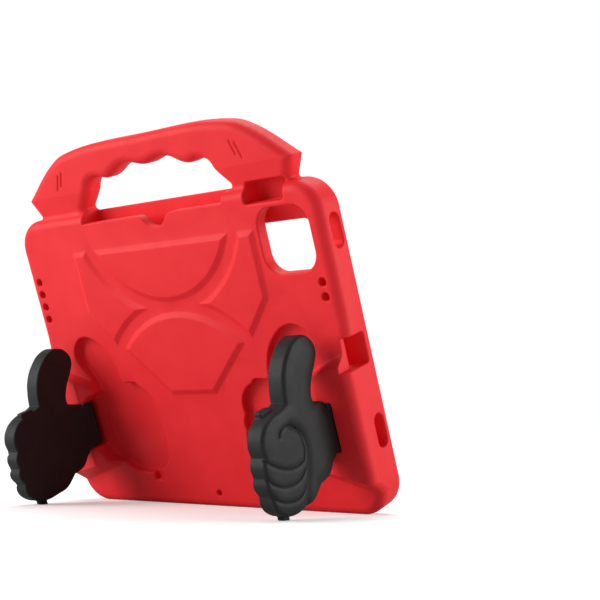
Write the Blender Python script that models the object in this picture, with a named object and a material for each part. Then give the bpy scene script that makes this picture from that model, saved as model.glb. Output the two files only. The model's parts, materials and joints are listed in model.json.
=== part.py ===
"""Foam case for a tablet, with a carrying handle and two hand-shaped stands that fold into its back.

Metres, +Z up. The case is modelled in its own frame: x to the right as seen from behind, y up along
the back, z straight out of the back face. An empty then leans that frame back on the two open stands,
so that the lower back edge and both stand feet rest on Z = 0.
"""

import math

import bmesh
import bpy
from mathutils import Matrix, Vector

# The tablet that the pocket is moulded for, and the room left round it.
DEVICE_WIDTH = 0.2476
DEVICE_HEIGHT = 0.1785
DEVICE_THICKNESS = 0.0059
DEVICE_CORNER = 0.0120
POCKET_CLEARANCE = 0.0006

# Walls of foam round the pocket.
SIDE_WALL = 0.0116
BOTTOM_WALL = 0.0146
TOP_WALL = 0.0160
BACK_WALL = 0.0088
LIP_DEPTH = 0.0084
BODY_CORNER = 0.0200
BODY_EDGE = 0.0065

POCKET_WIDTH = DEVICE_WIDTH + 2 * POCKET_CLEARANCE
POCKET_HEIGHT = DEVICE_HEIGHT + 2 * POCKET_CLEARANCE
POCKET_DEPTH = DEVICE_THICKNESS + POCKET_CLEARANCE
BODY_WIDTH = POCKET_WIDTH + 2 * SIDE_WALL
BODY_HEIGHT = BOTTOM_WALL + POCKET_HEIGHT + TOP_WALL
BODY_DEPTH = BACK_WALL + POCKET_DEPTH + LIP_DEPTH
POCKET_TOP = BOTTOM_WALL + POCKET_HEIGHT
POCKET_FLOOR = -BACK_WALL
LIP_BACK = POCKET_FLOOR - POCKET_DEPTH
DEVICE_MIDDLE = POCKET_FLOOR - POCKET_DEPTH / 2

# Front window: the lip over the screen's border, and the slope down to it.
LIP_OVERLAP = 0.0085
LIP_EDGE = 0.0028
WINDOW_SLOPE = 0.0095
WINDOW_CORNER = 0.0060
LENS_NOTCH_WIDTH = 0.0380
LENS_NOTCH_DEPTH = 0.0035
MICROPHONE_NOTCH_RADIUS = 0.0030
MICROPHONE_NOTCH_SPACING = 0.1040

# Carrying handle above the body.
HANDLE_RISE = 0.0450
HANDLE_BACK = -0.0030
HANDLE_FRONT = -0.0205
HANDLE_EDGE = 0.0060
HANDLE_NECK_INSET = 0.0230
HANDLE_CORNER_FLARE = 0.0070
HANDLE_CORNER_RISE = 0.0147
HANDLE_SHOULDER_HALF = 0.0800
HANDLE_SHOULDER_DROP = 0.0045
HANDLE_SHOULDER_ROUND = 0.0060
HANDLE_SHOULDER_CURVE = 0.0019
HANDLE_NECK_HALF = BODY_WIDTH / 2 - HANDLE_NECK_INSET
HANDLE_CORNER_HALF = HANDLE_NECK_HALF + HANDLE_CORNER_FLARE

# Grip opening in the handle: its sides lean in towards four finger hollows.
GRIP_SIDE_HALF = 0.0560
GRIP_SIDE_SPLAY = 0.0110
GRIP_FOOT_RISE = 0.0035
GRIP_KNEE_RISE = 0.0135
GRIP_KNEE_SPLAY = 0.0025
GRIP_BEND_RISE = 0.0200
GRIP_BEND_INSET = 0.0015
GRIP_TOP_RISE = 0.0225
GRIP_TOP_INSET = 0.0075
FINGER_RIDGE_DROP = 0.0015
FINGER_HOLLOW_RISE = 0.0055
FINGER_PITCH = GRIP_SIDE_HALF * 0.33

# Trough for a pen above the pocket, open at the back, with a thumb notch.
PEN_SLOT_LEFT = -0.0665
PEN_SLOT_RIGHT = 0.0620
PEN_SLOT_LEDGE = 0.0095
PEN_SLOT_DEPTH = 0.0170
PEN_SLOT_WALL = 0.0070
PEN_NOTCH_CENTRE = 0.0020
PEN_NOTCH_WIDTH = 0.0320
PEN_NOTCH_FLAT = 0.0100
PEN_NOTCH_DROP = 0.0075
PEN_NOTCH_LIP = 0.0030
PEN_NOTCH_LIP_DROP = 0.0007

# Openings in the back and the sides for lenses, buttons, plug and sound.
CAMERA_WIDTH = 0.0395
CAMERA_HEIGHT = 0.0413
CAMERA_CORNER = 0.0120
CAMERA_FROM_SIDE = 0.0182
CAMERA_FROM_TOP = 0.0174
VOLUME_WIDTH = 0.0310
VOLUME_HEIGHT = 0.0130
VOLUME_CORNER = 0.0022
VOLUME_FROM_SIDE = 0.0288
VOLUME_SINK = 0.0015
VOLUME_CHANNEL_WALL = 0.0025
PORT_HEIGHT = 0.0196
PORT_CORNER = 0.0022
PORT_FRONT = -0.0154
SPEAKER_LENGTH = 0.0214
SPEAKER_WIDTH = 0.0094
SPEAKER_FROM_MIDDLE = 0.0623
SPEAKER_LIFT = 0.0103
SOUND_HOLE_RADIUS = 0.0027
SOUND_HOLE_DEPTH = 0.0060
SOUND_HOLE_PITCH = 0.0091
SOUND_HOLE_FROM_SIDE = 0.0098
SOUND_HOLE_LEFT_TOP = 0.1673
SOUND_HOLE_RIGHT_TOP = 0.1492
DRAIN_HOLE_HEIGHT = 0.0115
DRAIN_HOLE_RADIUS = 0.0022

# Raised panels on the back: a dish above, a shield below and a wing on each side between them.
PANEL_RISE = 0.0018
PANEL_SLOPE = 0.0036
PANEL_GAP = 0.0070
DISH_TOP = 0.1855
DISH_RADIUS = 0.0680
SHIELD_TOP = 0.1384
SHIELD_RADIUS = 0.0763
SHIELD_HALF = 0.0550
SHIELD_BOTTOM = 0.0815
SHIELD_BOTTOM_HALF = 0.0202
WING_OUTER_HALF = 0.0830
WING_LOW = 0.1423

# Swelling on each side of the back that holds a hinge.
HUMP_RISE = 0.0082
HUMP_PROUD = 0.0006
HUMP_ROUND = 0.0045
HUMP_FOOT = 0.0294
HUMP_FOOT_SLOPE = 0.0065
HUMP_CREST = 0.0910
HUMP_TOP = 0.1320
HUMP_FAN = 9.2
HUMP_SUNK = 0.0020
HUMP_SIDE_SUNK = 0.0002
HUMP_SIDE_DROP = 0.0035
HUMP_SKIRT = 0.0015

# Hinges of the stands: axes parallel to y, just above the back face.
HINGE_INSET = 0.0242
HINGE_TO_HUMP_INNER = 0.0208
HINGE_RISE = 0.0024
ARM_LOW = 0.0465
ARM_HIGH = 0.0760
PIN_RADIUS = 0.0015
PIN_BEARING = 0.0085
PIN_CLEARANCE = 0.0003
RECESS_DEPTH = 0.0056
RECESS_CLEARANCE = 0.0018
RECESS_EDGE = 0.0010
NOTCH_REACH = 0.0150
NOTCH_CLEARANCE = 0.0007
NOTCH_DROP = 0.0002
HINGE_X = BODY_WIDTH / 2 - HINGE_INSET
HUMP_INNER = HINGE_X - HINGE_TO_HUMP_INNER
ARM_STRAIGHT = HUMP_RISE - HINGE_RISE + NOTCH_CLEARANCE

# Stands: a fist with its thumb up. Places are distance from the hinge axis, and height up the back.
STAND_INNER = 0.0073
STAND_OUTER = 0.0057
STAND_EDGE = 0.0022
ROOT_ROUND = 0.0026
ROOT_SUNK = 0.00015
ROOT_REACH = 0.0080
NUB_NEAR = 0.0550
NUB_FAR = 0.0612
NUB_INWARD = 0.0032
NUB_HALF = 0.0022
NUB_SUNK = 0.0310
LUG_NEAR = 0.0480
LUG_FAR = 0.0585
LUG_TOP = 0.0910
LUG_BOTTOM = 0.0840
LUG_THICKNESS = 0.0050
LUG_CORNER = 0.0015
CREASE_RADIUS = 0.00135
CREASE_LIFT = 0.00035
PALM_RADIUS = 0.00215
PALM_LIFT = 0.00095

# How far the case leans back on its open stands.
LEAN = math.radians(20.3)

# Fineness of the round stretches in degrees, the distance that welds points, how far joined pieces
# reach into each other, and how far cutters reach past the faces that they open.
ARC_STEP = 15.0
WELD = 1e-6
OVERLAP = 0.0005
CUT_PAST = 0.0050

FOAM_RED = (0.850, 0.042, 0.052, 1.0)
STAND_CHARCOAL = (0.050, 0.050, 0.050, 1.0)
PIN_STEEL = (0.550, 0.560, 0.570, 1.0)


def clear_scene():
    for thing in list(bpy.data.objects):
        bpy.data.objects.remove(thing, do_unlink=True)


def new_collection(name, parent):
    made = bpy.data.collections.new(name)
    parent.children.link(made)
    return made


def principled(name, colour, roughness, metallic=0.0):
    material = bpy.data.materials.new(name)
    material.use_nodes = True
    shader = material.node_tree.nodes["Principled BSDF"]
    shader.inputs["Base Color"].default_value = colour
    shader.inputs["Roughness"].default_value = roughness
    shader.inputs["Metallic"].default_value = metallic
    return material


def add_to(thing, collection, parent, material=None):
    """Puts an object in a collection and under a parent. Without a material it is a hidden helper."""
    for old in list(thing.users_collection):
        old.objects.unlink(thing)
    collection.objects.link(thing)
    thing.parent = parent
    if material is None:
        thing.hide_render = True
        thing.display_type = "WIRE"
    else:
        thing.data.materials.append(material)
        thing.data.shade_smooth()
        thing.data.set_sharp_from_angle(angle=math.radians(35))
    return thing


def arc(centre, radius, start, end):
    """Points along an arc, from the start angle to the end angle in degrees, both included."""
    steps = max(1, math.ceil(abs(end - start) / ARC_STEP))
    angles = [math.radians(start + (end - start) * i / steps) for i in range(steps + 1)]
    return [(centre[0] + radius * math.cos(a), centre[1] + radius * math.sin(a)) for a in angles]


def rounded_rectangle(left, bottom, right, top, radius):
    corners = [(right, top, 0), (left, top, 90), (left, bottom, 180), (right, bottom, 270)]
    points = []
    for x, y, start in corners:
        inward_x = -radius if x == right else radius
        inward_y = -radius if y == top else radius
        points += arc((x + inward_x, y + inward_y), radius, start, start + 90)
    return points


def circle(centre, radius):
    return arc(centre, radius, 0, 360)[:-1]


def mirrored(points):
    return [(-x, y, *rest) for x, y, *rest in reversed(points)]


def add_spline(curve, outline):
    """A closed outline: straight between pairs, or smooth where a point's third value is True."""
    if len(outline[0]) == 2:
        spline = curve.splines.new("POLY")
        spline.points.add(len(outline) - 1)
        for point, (x, y) in zip(spline.points, outline):
            point.co = (x, y, 0, 1)
    else:
        spline = curve.splines.new("BEZIER")
        spline.bezier_points.add(len(outline) - 1)
        for point, (x, y, smooth) in zip(spline.bezier_points, outline):
            point.co = (x, y, 0)
            point.handle_left_type = "AUTO" if smooth else "VECTOR"
            point.handle_right_type = "AUTO" if smooth else "VECTOR"
    spline.use_cyclic_u = True


def mesh_from_curve(name, curve, frame=None):
    """Turns a curve into a closed mesh object, placed in the case frame by its matrix."""
    source = bpy.data.objects.new(name + "_curve", curve)
    bpy.context.scene.collection.objects.link(source)
    source.matrix_world = frame or Matrix.Identity(4)
    bpy.context.view_layer.update()
    graph = bpy.context.evaluated_depsgraph_get()
    mesh = bpy.data.meshes.new_from_object(source.evaluated_get(graph))
    welded = bmesh.new()
    welded.from_mesh(mesh)
    bmesh.ops.remove_doubles(welded, verts=welded.verts, dist=WELD)
    welded.transform(source.matrix_world)
    if welded.calc_volume(signed=True) < 0:
        bmesh.ops.reverse_faces(welded, faces=welded.faces)
    welded.to_mesh(mesh)
    welded.free()
    mesh.materials.clear()
    bpy.data.objects.remove(source)
    return bpy.data.objects.new(name, mesh)


def plate(name, outlines, low, high, edge=0.0, grow=0.0, frame=None, fineness=4, edge_steps=3):
    """A flat outline extruded from low to high along z, with both rims rounded by edge."""
    curve = bpy.data.curves.new(name, "CURVE")
    curve.dimensions = "2D"
    curve.fill_mode = "BOTH"
    curve.resolution_u = fineness
    curve.extrude = (high - low) / 2 - edge
    curve.bevel_depth = edge
    curve.bevel_resolution = edge_steps - 1
    curve.offset = grow - edge
    for outline in outlines:
        add_spline(curve, outline)
    raised = Matrix.Translation((0, 0, (low + high) / 2))
    return mesh_from_curve(name, curve, (frame or Matrix.Identity(4)) @ raised)


def groove(name, points, radius, frame):
    """A thin tube along an open line, used to cut a groove."""
    curve = bpy.data.curves.new(name, "CURVE")
    curve.dimensions = "3D"
    curve.bevel_depth = radius
    curve.bevel_resolution = 1
    curve.use_fill_caps = True
    curve.resolution_u = 3
    spline = curve.splines.new("BEZIER")
    spline.bezier_points.add(len(points) - 1)
    for point, (x, y) in zip(spline.bezier_points, points):
        point.co = (x, y, 0)
        point.handle_left_type = "AUTO"
        point.handle_right_type = "AUTO"
    return mesh_from_curve(name, curve, frame)


def box(name, low, high):
    """A box between two corners."""
    shape = bmesh.new()
    bmesh.ops.create_cube(shape, size=1.0)
    size = Vector(high) - Vector(low)
    middle = (Vector(high) + Vector(low)) / 2
    bmesh.ops.transform(shape, matrix=Matrix.Diagonal((*size, 1)), verts=shape.verts)
    bmesh.ops.translate(shape, vec=middle, verts=shape.verts)
    mesh = bpy.data.meshes.new(name)
    shape.to_mesh(mesh)
    shape.free()
    return bpy.data.objects.new(name, mesh)


def rod(name, radius, low, high, x, z, segments=16):
    """A cylinder parallel to y."""
    shape = bmesh.new()
    turn = Matrix.Rotation(math.pi / 2, 4, "X")
    matrix = Matrix.Translation((x, (low + high) / 2, z)) @ turn
    bmesh.ops.create_cone(
        shape,
        cap_ends=True,
        segments=segments,
        radius1=radius,
        radius2=radius,
        depth=high - low,
        matrix=matrix,
    )
    mesh = bpy.data.meshes.new(name)
    shape.to_mesh(mesh)
    shape.free()
    return bpy.data.objects.new(name, mesh)


def boolean(thing, operation, collection):
    """Joins or cuts an object with every helper of a collection, one after the other."""
    for helper in collection.objects:
        modifier = thing.modifiers.new(helper.name, "BOOLEAN")
        modifier.operation = operation
        modifier.object = helper


def loft(name, sections):
    """A closed solid through sections with equal numbers of points."""
    shape = bmesh.new()
    rings = [[shape.verts.new(point) for point in section] for section in sections]
    count = len(rings[0])
    for first, second in zip(rings, rings[1:]):
        for i in range(count):
            j = (i + 1) % count
            shape.faces.new((first[i], first[j], second[j]))
            shape.faces.new((first[i], second[j], second[i]))
    shape.faces.new(reversed(rings[0]))
    shape.faces.new(rings[-1])
    bmesh.ops.recalc_face_normals(shape, faces=shape.faces)
    mesh = bpy.data.meshes.new(name)
    shape.to_mesh(mesh)
    shape.free()
    return bpy.data.objects.new(name, mesh)


# Case body.


def body_outline():
    half = BODY_WIDTH / 2
    return rounded_rectangle(-half, 0, half, BODY_HEIGHT, BODY_CORNER)


def handle_outlines():
    """The handle's outer outline, down into the top wall, and the grip opening with its finger hollows."""
    top = BODY_HEIGHT + HANDLE_RISE
    root = BODY_HEIGHT - TOP_WALL / 2
    shoulder = top - HANDLE_SHOULDER_DROP
    right = [
        (HANDLE_NECK_HALF, root, False),
        (HANDLE_NECK_HALF, BODY_HEIGHT, False),
        (HANDLE_CORNER_HALF, BODY_HEIGHT + HANDLE_CORNER_RISE, False),
        (HANDLE_SHOULDER_HALF + HANDLE_SHOULDER_ROUND, shoulder - HANDLE_SHOULDER_CURVE, True),
        (HANDLE_SHOULDER_HALF - HANDLE_SHOULDER_ROUND, shoulder + HANDLE_SHOULDER_CURVE, True),
    ]
    outer = right + [(0, top, True)] + mirrored(right)
    grip_top = BODY_HEIGHT + GRIP_TOP_RISE
    ridge = grip_top - FINGER_RIDGE_DROP
    hollow = grip_top + FINGER_HOLLOW_RISE
    side = [
        (GRIP_SIDE_HALF + GRIP_SIDE_SPLAY, root + OVERLAP, False),
        (GRIP_SIDE_HALF + GRIP_SIDE_SPLAY, BODY_HEIGHT + GRIP_FOOT_RISE, False),
        (GRIP_SIDE_HALF + GRIP_KNEE_SPLAY, BODY_HEIGHT + GRIP_KNEE_RISE, True),
        (GRIP_SIDE_HALF - GRIP_BEND_INSET, BODY_HEIGHT + GRIP_BEND_RISE, True),
        (GRIP_SIDE_HALF - GRIP_TOP_INSET, grip_top, True),
        (2 * FINGER_PITCH, ridge, True),
        (FINGER_PITCH, hollow, True),
    ]
    middle = (0, grip_top + FINGER_HOLLOW_RISE / 2, True)
    return [outer, side + [middle] + mirrored(side)]


def hump(name, side):
    """The swelling round one hinge: the body's rounded back edge, lifted in a fan-shaped loft."""
    middle = (ARM_LOW + ARM_HIGH) / 2
    half = BODY_WIDTH / 2
    low_z = -BODY_EDGE - HUMP_SIDE_DROP
    stations = [(HUMP_FOOT - HUMP_SUNK, -HUMP_SUNK), (HUMP_FOOT, 0.0)]
    for step in (0.25, 0.55, 0.85):
        rise = HUMP_RISE * math.sin(step * math.pi / 2)
        stations.append((HUMP_FOOT + HUMP_FOOT_SLOPE * (1 - math.cos(step * math.pi / 2)), rise))
    stations += [(HUMP_FOOT + HUMP_FOOT_SLOPE, HUMP_RISE), (HUMP_CREST, HUMP_RISE)]
    ramp = HUMP_TOP - HUMP_CREST
    for step in (0.12, 0.88):
        stations.append((HUMP_CREST + ramp * (step + 0.04), HUMP_RISE * (1 - step)))
    stations += [(HUMP_TOP + ramp * 0.08, 0.0), (HUMP_TOP + ramp * 0.25, -HUMP_SUNK)]
    sections = []
    for station, rise in stations:
        outer = half - HUMP_SIDE_SUNK + HUMP_PROUD * rise / HUMP_RISE
        section = [(HUMP_INNER, low_z / 2)]
        section += arc((HUMP_INNER + HUMP_ROUND, rise - HUMP_ROUND), HUMP_ROUND, 180, 90)
        section += arc((outer - BODY_EDGE, rise - BODY_EDGE), BODY_EDGE, 90, 0)
        section += [(outer, low_z), (outer - HUMP_SKIRT, low_z - HUMP_SKIRT)]
        points = []
        for x, z in section:
            spread = 1 + HUMP_FAN * (x - HUMP_INNER)
            points.append((side * x, middle + (station - middle) * spread, z))
        sections.append(points)
    return loft(name, sections)


def dish_centre():
    return SHIELD_TOP + PANEL_GAP + DISH_RADIUS


def shield_centre():
    return SHIELD_TOP - SHIELD_RADIUS


def dish_outline():
    """Flat top, round below."""
    reach = math.degrees(math.acos((dish_centre() - DISH_TOP) / DISH_RADIUS))
    return arc((0, dish_centre()), DISH_RADIUS, -90 - reach, -90 + reach)


def shield_outline():
    """Round top, tapering to a short flat bottom."""
    reach = math.degrees(math.asin(SHIELD_HALF / SHIELD_RADIUS))
    crown = arc((0, shield_centre()), SHIELD_RADIUS, 90 - reach, 90 + reach)
    return [(SHIELD_BOTTOM_HALF, SHIELD_BOTTOM)] + crown + [(-SHIELD_BOTTOM_HALF, SHIELD_BOTTOM)]


def wing_outline():
    """The right wing: it keeps an even gap to the dish's arc above it and to the shield's arc below it."""
    upper = DISH_RADIUS + PANEL_GAP
    lower = SHIELD_RADIUS + PANEL_GAP
    apart = dish_centre() - shield_centre()
    tip_rise = (apart**2 + lower**2 - upper**2) / (2 * apart)
    tip_x = math.sqrt(lower**2 - tip_rise**2)
    top_angle = math.degrees(math.asin((DISH_TOP - dish_centre()) / upper))
    start = math.degrees(math.atan2(tip_rise - apart, tip_x))
    upper_arc = arc((0, dish_centre()), upper, top_angle, start)
    tip_angle = math.degrees(math.atan2(tip_rise, tip_x))
    low_angle = math.degrees(math.acos((SHIELD_HALF + PANEL_GAP) / lower))
    lower_arc = arc((0, shield_centre()), lower, tip_angle, low_angle)
    return upper_arc + lower_arc[1:] + [(WING_OUTER_HALF, WING_LOW), (WING_OUTER_HALF, DISH_TOP)]


def panel(name, outline):
    """A raised field with sloping sides: a plate with one chamfer, squeezed to the panel's height."""
    frame = Matrix.Diagonal((1, 1, PANEL_RISE / PANEL_SLOPE, 1))
    low = -2 * PANEL_SLOPE
    return plate(name, [outline], low, PANEL_SLOPE, edge=PANEL_SLOPE, frame=frame, edge_steps=1)


# Openings.


def pocket_cutters():
    """The tablet's pocket, the window in front of it with its sloping rim, and the notches in the lip."""
    half = POCKET_WIDTH / 2
    pocket = rounded_rectangle(-half, BOTTOM_WALL, half, POCKET_TOP, DEVICE_CORNER)
    window_half = half - LIP_OVERLAP
    low = BOTTOM_WALL + LIP_OVERLAP
    high = POCKET_TOP - LIP_OVERLAP
    window = rounded_rectangle(-window_half, low, window_half, high, WINDOW_CORNER)
    slope_back = LIP_BACK - LIP_EDGE
    front = -BODY_DEPTH
    middle = (low + high) / 2
    ends = (
        (window_half - OVERLAP, middle - LENS_NOTCH_WIDTH / 2),
        (window_half + LENS_NOTCH_DEPTH, middle + LENS_NOTCH_WIDTH / 2),
    )
    notch = rounded_rectangle(*ends[0], *ends[1], LENS_NOTCH_DEPTH * 0.45)
    made = [
        plate("pocket", [pocket], LIP_BACK, POCKET_FLOOR),
        window_opening(window, slope_back, front),
        plate("lens_notch", [notch], slope_back - LENS_NOTCH_DEPTH, LIP_BACK + OVERLAP),
    ]
    for name, way in (("upper_microphone_notch", 0.5), ("lower_microphone_notch", -0.5)):
        centre = (window_half, middle + way * MICROPHONE_NOTCH_SPACING)
        round_notch = circle(centre, MICROPHONE_NOTCH_RADIUS)
        made.append(plate(name, [round_notch], slope_back - LENS_NOTCH_DEPTH, LIP_BACK + OVERLAP))
    return made


def window_opening(window, back, front):
    """The window: straight through the lip's edge, then growing towards the front face."""
    centre_y = (BOTTOM_WALL + POCKET_TOP) / 2
    levels = [(LIP_BACK + OVERLAP, 0.0), (back, 0.0)]
    levels += [(front, WINDOW_SLOPE), (front - CUT_PAST, WINDOW_SLOPE)]
    sections = []
    for z, grow in levels:
        section = []
        for x, y in window:
            out_x = math.copysign(grow, x)
            out_y = math.copysign(grow, y - centre_y)
            section.append((x + out_x, y + out_y, z))
        sections.append(section)
    return loft("window", sections)


def pen_slot_cutters():
    """The trough above the pocket: open to the pocket, to the back above its ledge, and upwards."""
    ledge = POCKET_TOP + PEN_SLOT_LEDGE
    above = BODY_HEIGHT + CUT_PAST
    profile = [
        (POCKET_TOP - OVERLAP, -PEN_SLOT_DEPTH),
        (above, -PEN_SLOT_DEPTH),
        (above, CUT_PAST),
        (ledge, CUT_PAST),
        (ledge, -PEN_SLOT_WALL),
        (POCKET_TOP - OVERLAP, -PEN_SLOT_WALL),
    ]
    ends = [[(x, y, z) for y, z in profile] for x in (PEN_SLOT_LEFT, PEN_SLOT_RIGHT)]
    edge = PEN_NOTCH_WIDTH / 2
    right = [
        (edge, above, False),
        (edge, ledge, False),
        (edge - PEN_NOTCH_LIP, ledge - PEN_NOTCH_LIP_DROP, True),
        (PEN_NOTCH_FLAT / 2, ledge - PEN_NOTCH_DROP, True),
    ]
    notch = [(x + PEN_NOTCH_CENTRE, y, smooth) for x, y, smooth in right + mirrored(right)]
    return [
        loft("pen_slot", ends),
        plate("pen_notch", [notch], -PEN_SLOT_WALL - 2 * OVERLAP, CUT_PAST + OVERLAP),
    ]


def side_frame(side):
    """Turns a plate's plane into a side face's: its x along z, its y along y, its z out of the side."""
    if side > 0:
        return Matrix(((0, 0, 1, 0), (0, 1, 0, 0), (-1, 0, 0, 0), (0, 0, 0, 1)))
    return Matrix(((0, 0, -1, 0), (0, 1, 0, 0), (1, 0, 0, 0), (0, 0, 0, 1)))


def back_cutters():
    """Openings through the back wall, and blind sound holes."""
    half = POCKET_WIDTH / 2
    x = half - CAMERA_FROM_SIDE
    y = POCKET_TOP - CAMERA_FROM_TOP
    wide, tall = CAMERA_WIDTH / 2, CAMERA_HEIGHT / 2
    lens = rounded_rectangle(x - wide, y - tall, x + wide, y + tall, CAMERA_CORNER)
    made = [plate("camera", [lens], POCKET_FLOOR - 2 * OVERLAP, CUT_PAST)]

    x = half - VOLUME_FROM_SIDE
    y = BODY_HEIGHT - TOP_WALL / 2 + VOLUME_HEIGHT / 2 - VOLUME_SINK
    wide, tall = VOLUME_WIDTH / 2, VOLUME_HEIGHT / 2
    button = rounded_rectangle(x - wide, y - tall, x + wide, y + tall, VOLUME_CORNER)
    made.append(plate("volume", [button], -PEN_SLOT_DEPTH, CUT_PAST))
    inner = (x - wide + VOLUME_CHANNEL_WALL, POCKET_TOP - OVERLAP, LIP_BACK)
    outer = (x + wide - VOLUME_CHANNEL_WALL, y, POCKET_FLOOR)
    made.append(box("volume_channel", inner, outer))

    column = BODY_WIDTH / 2 - SOUND_HOLE_FROM_SIDE
    for side, top, count in ((-1, SOUND_HOLE_LEFT_TOP, 4), (1, SOUND_HOLE_RIGHT_TOP, 2)):
        for i in range(count):
            hole = circle((side * column, top - i * SOUND_HOLE_PITCH), SOUND_HOLE_RADIUS)
            name = f"sound_hole_{'left' if side < 0 else 'right'}_{i + 1}"
            made.append(plate(name, [hole], -SOUND_HOLE_DEPTH, CUT_PAST))
    drain = circle((0, DRAIN_HOLE_HEIGHT), DRAIN_HOLE_RADIUS)
    made.append(plate("drain_hole", [drain], -SOUND_HOLE_DEPTH, CUT_PAST))
    return made


def side_cutters():
    """Speaker slots in both sides, and the plug opening in the right side only."""
    middle = BOTTOM_WALL + POCKET_HEIGHT / 2
    outside = BODY_WIDTH / 2 + CUT_PAST
    inside = POCKET_WIDTH / 2 - 2 * OVERLAP
    made = []
    for side, word in ((-1, "left"), (1, "right")):
        frame = side_frame(side)
        for way, place in ((1, "upper"), (-1, "lower")):
            y = middle + SPEAKER_LIFT + way * SPEAKER_FROM_MIDDLE
            z = -side * DEVICE_MIDDLE
            wide, tall = SPEAKER_WIDTH / 2, SPEAKER_LENGTH / 2
            slot = rounded_rectangle(z - wide, y - tall, z + wide, y + tall, wide * 0.999)
            made.append(plate(f"{word}_{place}_speaker", [slot], inside, outside, frame=frame))
    tall = PORT_HEIGHT / 2
    above = HUMP_RISE + CUT_PAST
    port = rounded_rectangle(-above, middle - tall, -PORT_FRONT, middle + tall, PORT_CORNER)
    made.append(plate("plug", [port], inside, outside, frame=side_frame(1)))
    return made


# Stands.


def stand_outline():
    """The fist's outline as distance from the hinge, height up the back, and whether it is smooth there."""
    return [
        (0.0, ARM_LOW, False),
        (ARM_STRAIGHT, ARM_LOW, False),
        (0.0128, 0.0400, True),
        (0.0200, 0.0346, True),
        (0.0262, 0.0330, False),
        (0.0330, 0.0290, True),
        (0.0440, 0.0268, True),
        (0.0580, 0.0272, True),
        (0.0665, 0.0318, True),
        (0.0705, 0.0380, True),
        (0.0703, 0.0443, False),
        (0.0728, 0.0500, True),
        (0.0713, 0.0556, False),
        (0.0718, 0.0615, True),
        (0.0692, 0.0670, False),
        (0.0698, 0.0740, True),
        (0.0660, 0.0817, True),
        (0.0578, 0.0868, True),
        (0.0470, 0.0885, True),
        (0.0425, 0.0900, False),
        (0.0412, 0.0985, True),
        (0.0378, 0.1082, True),
        (0.0305, 0.1172, True),
        (0.0225, 0.1222, True),
        (0.0140, 0.1226, True),
        (0.0070, 0.1175, True),
        (0.0049, 0.1105, True),
        (0.0078, 0.1040, True),
        (0.0142, 0.0955, True),
        (0.0180, 0.0870, True),
        (0.0178, 0.0825, False),
        (0.0120, 0.0805, True),
        (ARM_STRAIGHT, ARM_HIGH, False),
        (0.0, ARM_HIGH, False),
    ]


def root_section():
    """The arm's end round the hinge axis, as distance through the thickness and distance out of the hinge."""
    outer = STAND_OUTER - ROOT_SUNK
    inner = STAND_INNER - ROOT_SUNK
    round_inner = inner - ROOT_ROUND
    points = [(outer, ROOT_REACH)] + arc((0, 0), outer, 0, -90)
    points += arc((-ROOT_ROUND, round_inner - outer), round_inner, -90, -180)
    return points + [(-inner, ROOT_REACH)]


# The finger creases and the curl of the first finger, on the fist's outer face.
CURL = [
    (0.0540, 0.0735),
    (0.0500, 0.0777),
    (0.0432, 0.0768),
    (0.0372, 0.0715),
    (0.0352, 0.0640),
    (0.0385, 0.0578),
    (0.0460, 0.0548),
    (0.0560, 0.0560),
    (0.0650, 0.0610),
    (0.0720, 0.0680),
]
FINGER_CREASES = [
    [(0.0405, 0.0500), (0.0480, 0.0455), (0.0585, 0.0458), (0.0670, 0.0500), (0.0745, 0.0570)],
    [(0.0440, 0.0405), (0.0500, 0.0362), (0.0580, 0.0363), (0.0655, 0.0393), (0.0740, 0.0460)],
]
PALM_CREASE = [(0.0352, 0.0640), (0.0345, 0.0560), (0.0370, 0.0450), (0.0408, 0.0350), (0.0440, 0.0240)]


def make_stand(name, side, material, parts, cutters, frame, floor):
    """One stand, in a frame of its own on the hinge axis, open at right angles to the back."""
    # Outline plane to stand frame: distance goes to z, height stays y, thickness lies along x.
    turn = Matrix(((0, 0, side, 0), (0, 1, 0, 0), (1, 0, 0, 0), (0, 0, 0, 1)))
    extras = new_collection(f"{name}_additions", cutters)
    cuts = new_collection(f"{name}_cuts", cutters)
    outline = [stand_outline()]
    stand = plate(name, outline, -STAND_INNER, STAND_OUTER, edge=STAND_EDGE, frame=turn, fineness=3)
    add_to(stand, parts, frame, material)
    stand.location = (side * HINGE_X, 0, HINGE_RISE)

    across = Matrix(((side, 0, 0, 0), (0, 0, 1, 0), (0, 1, 0, 0), (0, 0, 0, 1)))
    root = plate(f"{name}_root", [root_section()], ARM_LOW, ARM_HIGH, frame=across)
    sole = [
        (distance, (floor + (HINGE_RISE + distance) * math.sin(LEAN)) / math.cos(LEAN))
        for distance in (NUB_NEAR, NUB_FAR)
    ]
    nub_outline = sole + [(NUB_FAR, NUB_SUNK), (NUB_NEAR, NUB_SUNK)]
    nub_low = -NUB_INWARD - NUB_HALF
    nub = plate(f"{name}_foot", [nub_outline], nub_low, nub_low + 2 * NUB_HALF, frame=turn)
    lug_outline = rounded_rectangle(LUG_NEAR, LUG_BOTTOM, LUG_FAR, LUG_TOP, LUG_CORNER)
    lug_low = -STAND_INNER + OVERLAP
    lug = plate(f"{name}_lug", [lug_outline], lug_low, lug_low + LUG_THICKNESS, frame=turn)
    for extra in (root, nub, lug):
        add_to(extra, extras, stand)

    low = ARM_LOW - CUT_PAST
    bore = rod(f"{name}_bore", PIN_RADIUS + PIN_CLEARANCE, low, ARM_HIGH + CUT_PAST, 0, 0)
    add_to(bore, cuts, stand)
    face = turn @ Matrix.Translation((0, 0, STAND_OUTER + CREASE_LIFT))
    for i, points in enumerate([CURL] + FINGER_CREASES):
        add_to(groove(f"{name}_crease_{i + 1}", points, CREASE_RADIUS, face), cuts, stand)
    face = turn @ Matrix.Translation((0, 0, STAND_OUTER + PALM_LIFT))
    add_to(groove(f"{name}_palm", PALM_CREASE, PALM_RADIUS, face), cuts, stand)
    return stand, extras, cuts


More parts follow.
